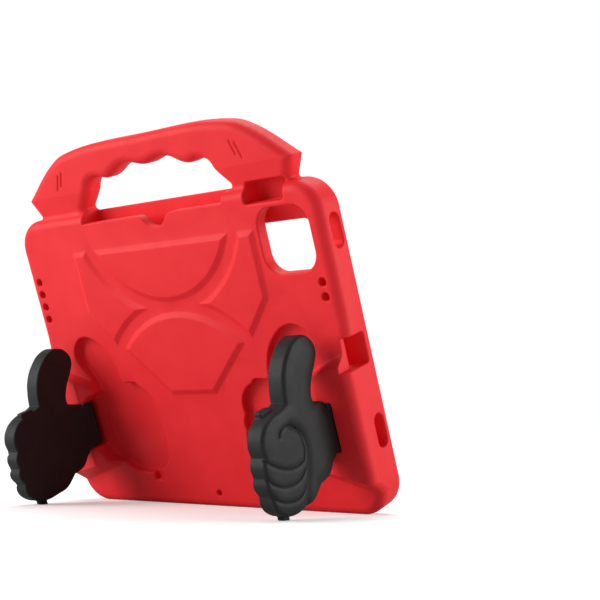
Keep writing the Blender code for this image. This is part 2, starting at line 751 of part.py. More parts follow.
def hinge_side_box(name, side, near, far, low, high, top, depth=RECESS_DEPTH - RECESS_EDGE):
    """A box cutter beside one hinge, from near to far inwards of its axis, and from depth up to top."""
    x = sorted((side * (HINGE_X - near), side * (HINGE_X - far)))
    return box(name, (x[0], low, -depth), (x[1], high, top))


def hinge_cutters(side, word):
    """What one stand needs in the foam: its recess, the notch for its root and foot, and the pin's bore."""
    outline = [(side * (HINGE_X - away), y, smooth) for away, y, smooth in stand_outline()]
    top = HUMP_RISE + CUT_PAST
    recess = plate(
        f"{word}_recess", [outline], -RECESS_DEPTH, top, edge=RECESS_EDGE, grow=RECESS_CLEARANCE,
        fineness=3, edge_steps=2,
    )
    reach = STAND_OUTER + NOTCH_CLEARANCE
    low = ARM_LOW - NOTCH_CLEARANCE
    high = ARM_HIGH + NOTCH_CLEARANCE
    depth = RECESS_DEPTH + NOTCH_DROP
    notch = hinge_side_box(f"{word}_notch", side, -reach, NOTCH_REACH, low, high, top + OVERLAP, depth)
    near = NUB_NEAR - RECESS_CLEARANCE
    far = NUB_FAR + RECESS_CLEARANCE
    low = (HINGE_RISE + NUB_NEAR) * math.tan(LEAN) - RECESS_CLEARANCE
    foot = hinge_side_box(f"{word}_foot_notch", side, near, far, low, NUB_SUNK, top - OVERLAP)
    near = LUG_NEAR - RECESS_CLEARANCE
    far = LUG_FAR + RECESS_CLEARANCE
    high = LUG_TOP + RECESS_CLEARANCE
    lug = hinge_side_box(f"{word}_lug_notch", side, near, far, LUG_BOTTOM, high, top - OVERLAP)
    bore = rod(
        f"{word}_pin_bore",
        PIN_RADIUS + PIN_CLEARANCE,
        ARM_LOW - PIN_BEARING - PIN_CLEARANCE,
        ARM_HIGH + PIN_BEARING + PIN_CLEARANCE,
        side * HINGE_X,
        HINGE_RISE,
    )
    return [recess, notch, foot, lug, bore]


def floor_height(mesh):
    """The lowest point of a mesh in the case frame, measured square to the floor."""
    return min(v.co.y * math.cos(LEAN) - v.co.z * math.sin(LEAN) for v in mesh.vertices)


def build():
    clear_scene()
    scene = bpy.context.scene
    parts = new_collection("kids_tablet_case", scene.collection)
    cutters = new_collection("cutters", scene.collection)
    additions = new_collection("shell_additions", cutters)
    cuts = new_collection("shell_cuts", cutters)
    foam = principled("red_foam", FOAM_RED, 0.55)
    plastic = principled("charcoal_plastic", STAND_CHARCOAL, 0.42)
    steel = principled("pin_steel", PIN_STEEL, 0.30, 1.0)

    frame = bpy.data.objects.new("case_frame", None)
    scene.collection.objects.link(frame)

    shell = plate("foam_shell", [body_outline()], -BODY_DEPTH, 0, edge=BODY_EDGE, edge_steps=5)
    floor = floor_height(shell.data)
    add_to(shell, parts, frame, foam)
    wing = wing_outline()
    added = [
        plate("handle", handle_outlines(), HANDLE_FRONT, HANDLE_BACK, edge=HANDLE_EDGE, edge_steps=4),
        hump("left_hump", -1),
        hump("right_hump", 1),
        panel("dish_panel", dish_outline()),
        panel("shield_panel", shield_outline()),
        panel("right_wing_panel", wing),
        panel("left_wing_panel", mirrored(wing)),
    ]
    for piece in added:
        add_to(piece, additions, frame)
    openings = pocket_cutters() + pen_slot_cutters() + back_cutters() + side_cutters()
    for side, word in ((-1, "left"), (1, "right")):
        openings += hinge_cutters(side, word)
    for piece in openings:
        add_to(piece, cuts, frame)

    joined = [(shell, additions, cuts)]
    for side, word in ((-1, "left"), (1, "right")):
        joined.append(make_stand(f"{word}_stand", side, plastic, parts, cutters, frame, floor))
        pin = rod(f"{word}_hinge_pin", PIN_RADIUS, ARM_LOW - PIN_BEARING, ARM_HIGH + PIN_BEARING, 0, 0)
        add_to(pin, parts, frame, steel)
        pin.location = (side * HINGE_X, 0, HINGE_RISE)

    for thing, gained, lost in joined:
        boolean(thing, "UNION", gained)
        boolean(thing, "DIFFERENCE", lost)
    stand_up(frame, parts, floor)


def stand_up(frame, parts, floor):
    """Leans the case back on its stands, on Z = 0 and centred on the origin."""
    frame.rotation_euler = (math.pi / 2 + LEAN, 0, 0)
    bpy.context.view_layer.update()
    graph = bpy.context.evaluated_depsgraph_get()
    depths = []
    for part in parts.objects:
        evaluated = part.evaluated_get(graph)
        mesh = evaluated.to_mesh()
        depths += [(evaluated.matrix_world @ v.co).y for v in mesh.vertices]
        evaluated.to_mesh_clear()
    frame.location = (0, -(min(depths) + max(depths)) / 2, -floor)


build()
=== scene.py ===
"""Looks of a child's foam tablet case with a handle and two folding, hand-shaped stands."""

import json
import math

import bpy
import numpy as np
import openvdb
from mathutils import Matrix, Vector

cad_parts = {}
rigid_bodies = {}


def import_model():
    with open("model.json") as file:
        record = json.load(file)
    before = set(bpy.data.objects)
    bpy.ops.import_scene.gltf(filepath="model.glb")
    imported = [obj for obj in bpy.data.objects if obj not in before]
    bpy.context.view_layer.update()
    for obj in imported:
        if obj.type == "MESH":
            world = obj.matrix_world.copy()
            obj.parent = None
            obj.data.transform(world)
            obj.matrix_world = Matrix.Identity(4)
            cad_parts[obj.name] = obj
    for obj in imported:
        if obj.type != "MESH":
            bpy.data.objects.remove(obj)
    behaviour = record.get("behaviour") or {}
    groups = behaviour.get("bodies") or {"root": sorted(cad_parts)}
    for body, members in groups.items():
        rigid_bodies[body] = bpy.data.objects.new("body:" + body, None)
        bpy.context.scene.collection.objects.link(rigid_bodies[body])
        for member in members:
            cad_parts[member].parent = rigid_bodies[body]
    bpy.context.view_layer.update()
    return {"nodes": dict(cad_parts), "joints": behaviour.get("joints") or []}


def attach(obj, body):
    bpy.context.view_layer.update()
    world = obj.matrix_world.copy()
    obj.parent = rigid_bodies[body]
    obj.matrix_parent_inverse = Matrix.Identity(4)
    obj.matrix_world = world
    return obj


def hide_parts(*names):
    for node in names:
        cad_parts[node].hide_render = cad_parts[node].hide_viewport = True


for leftover in list(bpy.data.objects):
    bpy.data.objects.remove(leftover)
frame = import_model()

# The case's own frame.
# The case leans back on its open stands. Its own x runs to the right as seen from behind, y up
# along its back and z straight out of its back face, and the hinge axes lie along y.
HINGE_X = 0.1118
HINGE_Y = 0.06125
HINGE_RISE = 0.0024

hinge = next(joint for joint in frame["joints"] if joint["name"] == "right_stand_hinge")
along_back = Vector(hinge["axis"]).normalized()
out_of_back = Vector((1, 0, 0)).cross(along_back)
turn = Matrix(((1, 0, 0), along_back, out_of_back)).transposed()
case_origin = Vector(hinge["pos_m"]) - turn @ Vector((HINGE_X, HINGE_Y, HINGE_RISE))
case_frame = Matrix.Translation(case_origin) @ turn.to_4x4()
LEAN_SLOPE = -out_of_back.z / along_back.z

# Foam shell.
# The tray, its raised back and the handle are one piece of closed-cell foam, moulded in one shot.
# Every edge is soft, because the foam doesn't fill the sharp corners of its tool.
FOAM_VOXEL = 0.0006
FOAM_MARGIN = 0.0030
FOAM_TRIANGLES = 190000
OVERLAP = 0.0010

BODY_WIDTH = 0.2720
BODY_HEIGHT = 0.2103
BODY_DEPTH = 0.0237
BODY_CORNER = 0.0200
BODY_EDGE = 0.0065
HANDLE_RISE = 0.0450

HUMP_RISE = 0.0082
HUMP_PROUD = 0.0006
HUMP_INNER = 0.0910
HUMP_ACROSS = (0.0500, 0.0895, 0.0945, 0.1035, 0.1095, 0.1125, 0.1500)
HUMP_HEIGHTS = (-0.0400, 0.0, 0.0056, 0.0066, 0.0084, 0.0120, 0.1000)
HUMP_SOFTNESS = 0.0042
HUMP_FOOT = 0.0294
HUMP_FOOT_SLOPE = 0.0058
HUMP_FAN = 9.2
HUMP_TOP_EDGE = 0.0024
HUMP_SIDE_EDGE = 0.0030
FOLD_HEIGHT = 0.0912
FOLD_FROM = 0.0960
FOLD_SLOPE = 0.437
FOLD_RUN = 0.0030
FOLD_WIDENS_FROM = 0.1150
FOLD_WIDENING = 0.30
SKIRT_RISE = 0.0012
SKIRT_LENGTH = 0.0200
SKIRT_FROM = 0.1080
SKIRT_GROWTH = 80
SKIRT_OVERLAP = 0.0020
SKIRT_EDGE = 0.0012
ARM_LOW = 0.0465
ARM_HIGH = 0.0760


def drawn(points, fineness=8, closed=True):
    """Points along a Bezier line that is sharp where a point's third value is False."""
    curve = bpy.data.curves.new("line", "CURVE")
    curve.dimensions = "2D"
    curve.fill_mode = "NONE"
    curve.resolution_u = fineness
    spline = curve.splines.new("BEZIER")
    spline.bezier_points.add(len(points) - 1)
    for point, (across, up, smooth) in zip(spline.bezier_points, points):
        point.co = (across, up, 0)
        point.handle_left_type = "AUTO" if smooth else "VECTOR"
        point.handle_right_type = "AUTO" if smooth else "VECTOR"
    spline.use_cyclic_u = closed
    holder = bpy.data.objects.new("line", curve)
    bpy.context.scene.collection.objects.link(holder)
    bpy.context.view_layer.update()
    graph = bpy.context.evaluated_depsgraph_get()
    mesh = bpy.data.meshes.new_from_object(holder.evaluated_get(graph))
    line = [(vertex.co.x, vertex.co.y) for vertex in mesh.vertices]
    bpy.data.objects.remove(holder)
    bpy.data.meshes.remove(mesh)
    return line


def arc(centre, radius, start, end, step=4.0):
    """Points along an arc. Its angles and its step are in degrees."""
    steps = max(1, math.ceil(abs(end - start) / step))
    angles = [math.radians(start + (end - start) * i / steps) for i in range(steps + 1)]
    return [(centre[0] + radius * math.cos(a), centre[1] + radius * math.sin(a)) for a in angles]


def nearest_on(line, across, up):
    """How far each place lies from a line of points."""
    nearest = np.full(np.broadcast(across, up).shape, 1.0, np.float32)
    for (ax, ay), (bx, by) in zip(line, line[1:]):
        run, rise = bx - ax, by - ay
        share = ((across - ax) * run + (up - ay) * rise) / (run * run + rise * rise + 1e-18)
        share = np.clip(share, 0, 1)
        gap = (across - ax - share * run) ** 2 + (up - ay - share * rise) ** 2
        nearest = np.minimum(nearest, gap)
    return np.sqrt(nearest)


def outside(outline, across, up):
    """How far each place lies outside a closed outline: less than zero within it."""
    within = np.zeros(np.broadcast(across, up).shape, bool)
    closed = outline + outline[:1]
    for (ax, ay), (bx, by) in zip(closed, closed[1:]):
        if ay != by:
            within ^= ((ay > up) != (by > up)) & (across < (bx - ax) * (up - ay) / (by - ay) + ax)
    return np.where(within, -1, 1).astype(np.float32) * nearest_on(closed, across, up)


def rounded(across, up, half_across, half_up, corner):
    """How far each place lies outside a rounded rectangle round the origin."""
    wide = np.abs(across) - half_across + corner
    tall = np.abs(up) - half_up + corner
    past_corner = np.hypot(np.maximum(wide, 0), np.maximum(tall, 0))
    return past_corner + np.minimum(np.maximum(wide, tall), 0) - corner


def between(place, low, high):
    """How far each place lies outside a range."""
    return np.abs(place - (low + high) / 2) - (high - low) / 2


def joined(first, second, fillet=0.0):
    """Both solids, with a round fillet where they meet."""
    if not fillet:
        return np.minimum(first, second)
    soft = np.hypot(np.maximum(fillet - first, 0), np.maximum(fillet - second, 0))
    return np.maximum(np.minimum(first, second), fillet) - soft


def common(first, second, edge=0.0):
    """What two solids share, with a round edge where they meet."""
    return -joined(-first, -second, edge)


def cut(solid, hole, edge=0.0):
    """A solid without a hole, with a round edge at the hole's mouth."""
    return common(solid, -hole, edge)


def sampled(field, points):
    """The field's value at places between its grid points."""
    top = np.array(field.shape) - 2
    low = np.clip(np.floor(points).astype(int), 0, top)
    part = points - low
    value = np.zeros(len(points), np.float32)
    for corner in np.ndindex(2, 2, 2):
        weight = np.prod(np.where(corner, part, 1 - part), axis=1)
        value += weight * field[tuple((low + corner).T)]
    return value


def moulded(name, field, corner, voxel, most, place):
    """The skin of a field of distances, thinned to a number of triangles, with its normals."""
    band = 3 * voxel
    grid = openvdb.FloatGrid(band)
    grid.copyFromArray(np.clip(field, -band, band).astype(np.float32))
    points, triangles, quads = grid.convertToPolygons(isovalue=0.0, adaptivity=0.0)
    full = bpy.data.meshes.new(name)
    full.from_pydata(points, [], triangles.tolist() + quads.tolist())
    thing = bpy.data.objects.new(name, full)
    bpy.context.scene.collection.objects.link(thing)
    thinner = thing.modifiers.new("thinner", "DECIMATE")
    thinner.ratio = min(1, most / (len(triangles) + 2 * len(quads)))
    graph = bpy.context.evaluated_depsgraph_get()
    mesh = bpy.data.meshes.new_from_object(thing.evaluated_get(graph))
    thing.modifiers.clear()
    thing.data = mesh
    bpy.data.meshes.remove(full)
    mesh.name = name
    points = np.empty(3 * len(mesh.vertices), np.float32)
    mesh.vertices.foreach_get("co", points)
    points = points.reshape(-1, 3)
    normals = np.zeros((len(points), 3), np.float32)
    probe = 0.6
    for axis in range(3):
        step = np.zeros(3, np.float32)
        step[axis] = probe
        normals[:, axis] = sampled(field, points + step) - sampled(field, points - step)
    normals /= np.linalg.norm(normals, axis=1, keepdims=True) + 1e-12
    mesh.shade_smooth()
    mesh.normals_split_custom_set_from_vertices(normals.tolist())
    mesh.transform(place @ Matrix.Translation(Vector(corner)) @ Matrix.Scale(voxel, 4))
    return thing


def grid_lines(low, high, voxel):
    """Grid coordinates along one direction, as 32-bit numbers."""
    return np.arange(round(low / voxel), round(high / voxel) + 1, dtype=np.float32) * voxel


half_body = BODY_WIDTH / 2
x_line = grid_lines(-half_body - FOAM_MARGIN, half_body + FOAM_MARGIN, FOAM_VOXEL)
y_line = grid_lines(-FOAM_MARGIN, BODY_HEIGHT + HANDLE_RISE + FOAM_MARGIN, FOAM_VOXEL)
z_line = grid_lines(-BODY_DEPTH - FOAM_MARGIN, HUMP_RISE + FOAM_MARGIN, FOAM_VOXEL)
x = x_line[:, None, None]
y = y_line[None, :, None]
z = z_line[None, None, :]
side_x = np.abs(x)
body_middle = BODY_HEIGHT / 2

# The tray's block. A swelling on each side of its back holds a hinge and fans out towards the side.
# Its slopes at the fold above it, at its foot and on its inner side run softly into its flat top,
# and a thin skirt carries on past the fold.
fan = 1 + HUMP_FAN * (side_x - HUMP_INNER)
arm_middle = (ARM_LOW + ARM_HIGH) / 2
station = arm_middle + (y - arm_middle) / fan
foot_climb = (station - HUMP_FOOT) * HUMP_RISE / HUMP_FOOT_SLOPE
fold = FOLD_HEIGHT + (side_x - FOLD_FROM) * FOLD_SLOPE
fold_run = FOLD_RUN + np.maximum(side_x - FOLD_WIDENS_FROM, 0) * FOLD_WIDENING
fold_climb = (fold - y) * HUMP_RISE / fold_run
softening = np.ones(2 * round(HUMP_SOFTNESS / FOAM_VOXEL / 2) + 1)
softening = softening / len(softening)
inner_climb = np.convolve(np.interp(np.abs(x_line), HUMP_ACROSS, HUMP_HEIGHTS), softening, "same")
inner_climb = inner_climb.astype(np.float32)[:, None, None]
rise = joined(joined(fold_climb, HUMP_RISE, HUMP_TOP_EDGE), foot_climb, HUMP_SIDE_EDGE)
rise = joined(rise, inner_climb, HUMP_SIDE_EDGE)
skirt = SKIRT_RISE * np.clip(1 - (y - fold) / SKIRT_LENGTH, 0, 1)
skirt = skirt * np.clip((side_x - SKIRT_FROM) * SKIRT_GROWTH, 0, 1)
rise = common(rise, np.where(y > fold - SKIRT_OVERLAP, skirt, 0), SKIRT_EDGE)
steepness = np.hypot(*np.gradient(rise[:, :, 0], FOAM_VOXEL))[:, :, None]
proud = HUMP_PROUD * np.clip(z / HUMP_RISE, 0, 1)
flat_body = rounded(x, y - body_middle, half_body, body_middle, BODY_CORNER)
shell = common(flat_body - proud, (z - rise) / np.hypot(1, steepness), BODY_EDGE)
shell = common(shell, -BODY_DEPTH - z, BODY_EDGE)
del fan, station, foot_climb, fold, fold_run, fold_climb, inner_climb, skirt, rise, steepness

# The handle, with hollows for four fingers.
TOP_WALL = 0.0160
HANDLE_BACK = -0.0030
HANDLE_FRONT = -0.0205
HANDLE_EDGE = 0.0060
HANDLE_NECK_HALF = 0.1130
HANDLE_CORNER_HALF = 0.1200
HANDLE_CORNER_RISE = 0.0147
HANDLE_NECK_SLOPE = 0.16
HANDLE_SHOULDER_HALF = 0.0800
HANDLE_SHOULDER_DROP = 0.0045
HANDLE_SHOULDER_ROUND = 0.0060
HANDLE_SHOULDER_FALL = 0.0020
HANDLE_SHOULDER_CLIMB = 0.0018
HANDLE_FILLET = 0.0030
GRIP_HALF = 0.0670
GRIP_SIDE_HALF = 0.0560
GRIP_CORNER_RISE = 0.0035
GRIP_BOW = ((0.0025, 0.0135), (-0.0015, 0.0200))
GRIP_TOP_INSET = 0.0075
GRIP_TOP_RISE = 0.0225
FINGER_RIDGE_DROP = 0.0015
FINGER_HOLLOW_RISE = 0.0055
FINGER_PITCH = 0.0185
GRIP_EDGE = 0.0010

handle_top = BODY_HEIGHT + HANDLE_RISE
handle_root = BODY_HEIGHT - TOP_WALL / 2
shoulder = handle_top - HANDLE_SHOULDER_DROP
handle_side = [
    (HANDLE_NECK_HALF, handle_root, False),
    (HANDLE_NECK_HALF, BODY_HEIGHT, False),
    (HANDLE_CORNER_HALF, BODY_HEIGHT + HANDLE_CORNER_RISE, False),
    (HANDLE_SHOULDER_HALF + HANDLE_SHOULDER_ROUND, shoulder - HANDLE_SHOULDER_FALL, True),
    (HANDLE_SHOULDER_HALF - HANDLE_SHOULDER_ROUND, shoulder + HANDLE_SHOULDER_CLIMB, True),
]
grip_top = BODY_HEIGHT + GRIP_TOP_RISE
grip_side = [
    (GRIP_HALF, handle_root, False),
    (GRIP_HALF, BODY_HEIGHT + GRIP_CORNER_RISE, False),
    *((GRIP_SIDE_HALF + out, BODY_HEIGHT + up, True) for out, up in GRIP_BOW),
    (GRIP_SIDE_HALF - GRIP_TOP_INSET, grip_top, True),
    (2 * FINGER_PITCH, grip_top - FINGER_RIDGE_DROP, True),
    (FINGER_PITCH, grip_top + FINGER_HOLLOW_RISE, True),
]


def both_sides(points, *middle):
    """A half outline, any point on the middle line, and the half's mirror image."""
    return points + [*middle] + [(-across, up, smooth) for across, up, smooth in reversed(points)]


handle_outline = drawn(both_sides(handle_side, (0, handle_top, True)))
grip_outline = drawn(both_sides(grip_side, (0, grip_top + FINGER_HOLLOW_RISE / 2, True)))
flat_handle = outside(handle_outline, x[:, :, 0], y[:, :, 0])[:, :, None]
flat_grip = outside(grip_outline, x[:, :, 0], y[:, :, 0])[:, :, None]
flat_handle = cut(flat_handle, flat_grip, GRIP_EDGE)
corner_y = BODY_HEIGHT + HANDLE_CORNER_RISE
handle_back = HANDLE_BACK - HANDLE_NECK_SLOPE * np.maximum(corner_y - y, 0)
handle = common(flat_handle, np.maximum(z - handle_back, HANDLE_FRONT - z), HANDLE_EDGE)
shell = joined(shell, handle, HANDLE_FILLET)
del handle

# Two short grooves in each end of the handle's back.
GROOVE_ENDS = [((0.0815, 0.2385), (0.0850, 0.2290)), ((0.0775, 0.2400), (0.0805, 0.2315))]
GROOVE_HALF = 0.0007
GROOVE_DEPTH = 0.0008
GROOVE_FLOOR_EDGE = 0.0004
GROOVE_EDGE = 0.0003

groove = np.minimum.reduce([nearest_on(line, side_x[:, :, 0], y[:, :, 0]) for line in GROOVE_ENDS])
groove = common(groove[:, :, None] - GROOVE_HALF, HANDLE_BACK - GROOVE_DEPTH - z, GROOVE_FLOOR_EDGE)
shell = cut(shell, groove, GROOVE_EDGE)

# Raised panels with sloping sides.
PANEL_RISE = 0.0018
PANEL_SLOPE = 0.0036
PANEL_GAP = 0.0070
PANEL_SOFTNESS = 0.04
PANEL_TILT = 0.9
PANEL_ROOT = 0.0040
PANEL_EDGE = 0.0003
DISH_TOP = 0.1855
DISH_RADIUS = 0.0680
SHIELD_TOP = 0.1384
SHIELD_RADIUS = 0.0763
SHIELD_HALF = 0.0550
SHIELD_BOTTOM = (0.0202, 0.0815)
WING_OUTER_HALF = 0.0830
WING_LOW = 0.1423

dish_centre = SHIELD_TOP + PANEL_GAP + DISH_RADIUS
dish_reach = math.degrees(math.acos((dish_centre - DISH_TOP) / DISH_RADIUS))
dish = arc((0, dish_centre), DISH_RADIUS, -90 - dish_reach, -90 + dish_reach)
shield_centre = SHIELD_TOP - SHIELD_RADIUS
shield_reach = math.degrees(math.asin(SHIELD_HALF / SHIELD_RADIUS))
shield = arc((0, shield_centre), SHIELD_RADIUS, 90 - shield_reach, 90 + shield_reach)
shield = [SHIELD_BOTTOM] + shield + [(-SHIELD_BOTTOM[0], SHIELD_BOTTOM[1])]
upper = DISH_RADIUS + PANEL_GAP
lower = SHIELD_RADIUS + PANEL_GAP
apart = dish_centre - shield_centre
tip_rise = (apart**2 + lower**2 - upper**2) / (2 * apart)
tip_x = math.sqrt(lower**2 - tip_rise**2)
wing_top = math.degrees(math.asin((DISH_TOP - dish_centre) / upper))
wing = arc((0, dish_centre), upper, wing_top, math.degrees(math.atan2(tip_rise - apart, tip_x)))
wing_low = math.degrees(math.acos((SHIELD_HALF + PANEL_GAP) / lower))
wing += arc((0, shield_centre), lower, math.degrees(math.atan2(tip_rise, tip_x)), wing_low)[1:]
wing += [(WING_OUTER_HALF, WING_LOW), (WING_OUTER_HALF, DISH_TOP)]
flat_panel = outside(dish, x[:, :, 0], y[:, :, 0])
for outline in (shield, wing):
    flat_panel = np.minimum(flat_panel, outside(outline, side_x[:, :, 0], y[:, :, 0]))
flat_panel = flat_panel[:, :, None]
share = -flat_panel / PANEL_SLOPE
share = 0.5 * (share + 1 - np.hypot(share - 1, PANEL_SOFTNESS))
share = 0.5 * (share + np.hypot(share, PANEL_SOFTNESS))
panel = common((z - PANEL_RISE * share) * PANEL_TILT, flat_panel, PANEL_EDGE)
shell = joined(shell, common(panel, -PANEL_ROOT - z), PANEL_EDGE)
del panel, share

# The pocket, and the window in front of it with its sloping rim and the notches in that rim.
POCKET_HALF = 0.1244
POCKET_BOTTOM = 0.0146
POCKET_TOP = 0.1943
POCKET_CORNER = 0.0120
POCKET_FLOOR = -0.0088
POCKET_EDGE = 0.0006
LIP_BACK = -0.0153
WINDOW_INSET = 0.0085
WINDOW_CORNER = 0.0060
SLOPE_BACK = -0.0181
WINDOW_SLOPE = 0.0095
WINDOW_EDGE = 0.0010
RIM_NOTCH_LENGTH = 0.0380
RIM_NOTCH_DEPTH = 0.0035
RIM_NOTCH_CORNER = 0.0015
RIM_NOTCH_EDGE = 0.0004
ROUND_NOTCH_RADIUS = 0.0030
ROUND_NOTCH_SPACING = 0.1040

pocket_middle = (POCKET_BOTTOM + POCKET_TOP) / 2
pocket_half_height = (POCKET_TOP - POCKET_BOTTOM) / 2
pocket = rounded(x, y - pocket_middle, POCKET_HALF, pocket_half_height, POCKET_CORNER)
shell = cut(shell, common(pocket, between(z, LIP_BACK, POCKET_FLOOR)), POCKET_EDGE)
window_half = POCKET_HALF - WINDOW_INSET
window_half_height = pocket_half_height - WINDOW_INSET
window = rounded(x, y - pocket_middle, window_half, window_half_height, WINDOW_CORNER)
rim_slope = WINDOW_SLOPE / (BODY_DEPTH + SLOPE_BACK)
opening = (window - np.maximum(SLOPE_BACK - z, 0) * rim_slope) / math.hypot(1, rim_slope)
opening = np.where(z > SLOPE_BACK, np.minimum(window, opening), opening)
shell = cut(shell, common(opening, z - POCKET_FLOOR + 2 * OVERLAP), WINDOW_EDGE)
notch_half = RIM_NOTCH_LENGTH / 2
notch = rounded(x - window_half, y - pocket_middle, RIM_NOTCH_DEPTH, notch_half, RIM_NOTCH_CORNER)
for way in (0.5, -0.5):
    notch_y = pocket_middle + way * ROUND_NOTCH_SPACING
    notch = np.minimum(notch, np.hypot(x - window_half, y - notch_y) - ROUND_NOTCH_RADIUS)
lip = between(z, SLOPE_BACK - RIM_NOTCH_DEPTH, LIP_BACK + OVERLAP / 2)
shell = cut(shell, common(notch, lip), RIM_NOTCH_EDGE)
del pocket, window, opening, notch

# The trough above the pocket, with its thumb notch.
PEN_SLOT = (-0.0665, 0.0620)
PEN_LEDGE = 0.2038
PEN_SLOT_DEPTH = 0.0170
PEN_SLOT_WALL = 0.0070
PEN_SLOT_EDGE = 0.0006
PEN_NOTCH_CENTRE = 0.0020
PEN_NOTCH_WIDTH = 0.0320
PEN_NOTCH_DROP = 0.0075
PEN_NOTCH_FLAT = 0.0100
PEN_NOTCH_LIP = (0.0030, 0.0007)
PEN_NOTCH_EDGE = 0.0008

trough = between(y, POCKET_TOP - OVERLAP, BODY_HEIGHT + FOAM_MARGIN)
trough = np.maximum(trough, between(x, *PEN_SLOT))
slot = np.maximum(trough, -PEN_SLOT_DEPTH - z)
slot = np.maximum(slot, np.minimum(z + PEN_SLOT_WALL, PEN_LEDGE - y))
shell = cut(shell, slot, PEN_SLOT_EDGE)
notch_edge = PEN_NOTCH_WIDTH / 2
notch_side = [
    (notch_edge, BODY_HEIGHT, False),
    (notch_edge, PEN_LEDGE, False),
    (notch_edge - PEN_NOTCH_LIP[0], PEN_LEDGE - PEN_NOTCH_LIP[1], True),
    (PEN_NOTCH_FLAT / 2, PEN_LEDGE - PEN_NOTCH_DROP, True),
]
thumb_outline = drawn(both_sides(notch_side))
thumb = outside(thumb_outline, x[:, :, 0] - PEN_NOTCH_CENTRE, y[:, :, 0])[:, :, None]
shell = cut(shell, common(thumb, -PEN_SLOT_WALL - OVERLAP - z), PEN_NOTCH_EDGE)
del trough, slot, thumb

# Openings through the back at its upper right corner, and blind sound holes at both sides.
CAMERA_CENTRE = (0.1062, 0.1769)
CAMERA_SIZE = (0.0395, 0.0413)
CAMERA_CORNER = 0.0120
CAMERA_EDGE = 0.0009
VOLUME_CENTRE = (0.0956, 0.2073)
VOLUME_SIZE = (0.0310, 0.0130)
VOLUME_EDGE = 0.0012
CHANNEL_HALF = 0.0130
CHANNEL_TOP = 0.2060
SMALL_CORNER = 0.0022
SOUND_HOLE_X = 0.1262
SOUND_HOLE_RADIUS = 0.0027
SOUND_HOLE_DEPTH = 0.0060
SOUND_HOLE_PITCH = 0.0091
SOUND_HOLE_EDGE = 0.0005
SOUND_HOLE_FLOOR_EDGE = 0.0010
SOUND_HOLE_TOPS = ((-1, 0.1673, 4), (1, 0.1492, 2))
DRAIN_HOLE = (0.0115, 0.0022)


def window_in(centre, size, corner):
    """How far each place lies outside a rounded opening in the back."""
    return rounded(x - centre[0], y - centre[1], size[0] / 2, size[1] / 2, corner)


lens = window_in(CAMERA_CENTRE, CAMERA_SIZE, CAMERA_CORNER)
shell = cut(shell, common(lens, POCKET_FLOOR - OVERLAP - z), CAMERA_EDGE)
keys = window_in(VOLUME_CENTRE, VOLUME_SIZE, SMALL_CORNER)
shell = cut(shell, common(keys, -PEN_SLOT_DEPTH - z), VOLUME_EDGE)
channel = between(x, VOLUME_CENTRE[0] - CHANNEL_HALF, VOLUME_CENTRE[0] + CHANNEL_HALF)
channel = common(channel, between(y, POCKET_TOP - OVERLAP, CHANNEL_TOP))
shell = cut(shell, common(channel, between(z, LIP_BACK, POCKET_FLOOR)))
holes = np.hypot(x, y - DRAIN_HOLE[0]) - DRAIN_HOLE[1]
for side, top, count in SOUND_HOLE_TOPS:
    for i in range(count):
        hole = np.hypot(x - side * SOUND_HOLE_X, y - top + i * SOUND_HOLE_PITCH) - SOUND_HOLE_RADIUS
        holes = np.minimum(holes, hole)
holes = common(holes, -SOUND_HOLE_DEPTH - z, SOUND_HOLE_FLOOR_EDGE)
shell = cut(shell, holes, SOUND_HOLE_EDGE)
del lens, keys, channel, holes

# Openings in the sides: sound slots in both, and the plug opening in the right one.
PORT_SIZE = 0.0196
PORT_FRONT = -0.0154
PORT_WALL = 0.1300
PORT_WALL_FRONT = -0.0032
PORT_PAST_BACK = 0.0060
PORT_EDGE = 0.0009
SPEAKER_SIZE = (0.0214, 0.0094)
SPEAKER_FROM_MIDDLE = 0.0623
SPEAKER_LIFT = 0.0103
SPEAKER_EDGE = 0.0007
SIDE_MIDDLE = 0.10445
DEVICE_MIDDLE = -0.01205

speaker_half = (SPEAKER_SIZE[0] / 2, SPEAKER_SIZE[1] / 2)
speaker_y = np.abs(y - SIDE_MIDDLE - SPEAKER_LIFT) - SPEAKER_FROM_MIDDLE
speaker = rounded(speaker_y, z - DEVICE_MIDDLE, *speaker_half, speaker_half[1])
shell = cut(shell, common(speaker, POCKET_HALF - OVERLAP - side_x), SPEAKER_EDGE)
port_middle = (PORT_FRONT + HUMP_RISE + PORT_PAST_BACK) / 2
port_half = (PORT_SIZE / 2, port_middle - PORT_FRONT)
port = rounded(y - SIDE_MIDDLE, z - port_middle, *port_half, SMALL_CORNER)
port_deep = np.maximum(POCKET_HALF - OVERLAP - x, z - PORT_WALL_FRONT)
shell = cut(shell, common(port, np.minimum(port_deep, PORT_WALL - x)), PORT_EDGE)
del speaker, port

# Recesses that the stands fold into, with the notch and the bore of each hinge.
NOTCH_CLEARANCE = 0.0007
NOTCH_INNER = 0.0150
NOTCH_DEPTH = 0.0058
NOTCH_EDGE = 0.0008
RECESS_DEPTH = 0.0056
RECESS_CLEARANCE = 0.0018
RECESS_EDGE = 0.0010
STAND_INNER = 0.0073
STAND_OUTER = 0.0057
PIN_BORE = 0.0018
PIN_REACH = 0.0088
FOOT_NEAR = 0.0550
FOOT_FAR = 0.0612
FOOT_TOP = 0.0310
LUG_NEAR = 0.0480
LUG_FAR = 0.0585
LUG_BOTTOM = 0.0840
LUG_TOP = 0.0902
LUG_NOTCH_SPARE = 0.0010
LUG_NOTCH_DROP = 0.0052
LUG_NOTCH_HALF = 0.0060
LUG_NOTCH_CORNER = 0.0035
LUG_NOTCH_EDGE = 0.0006

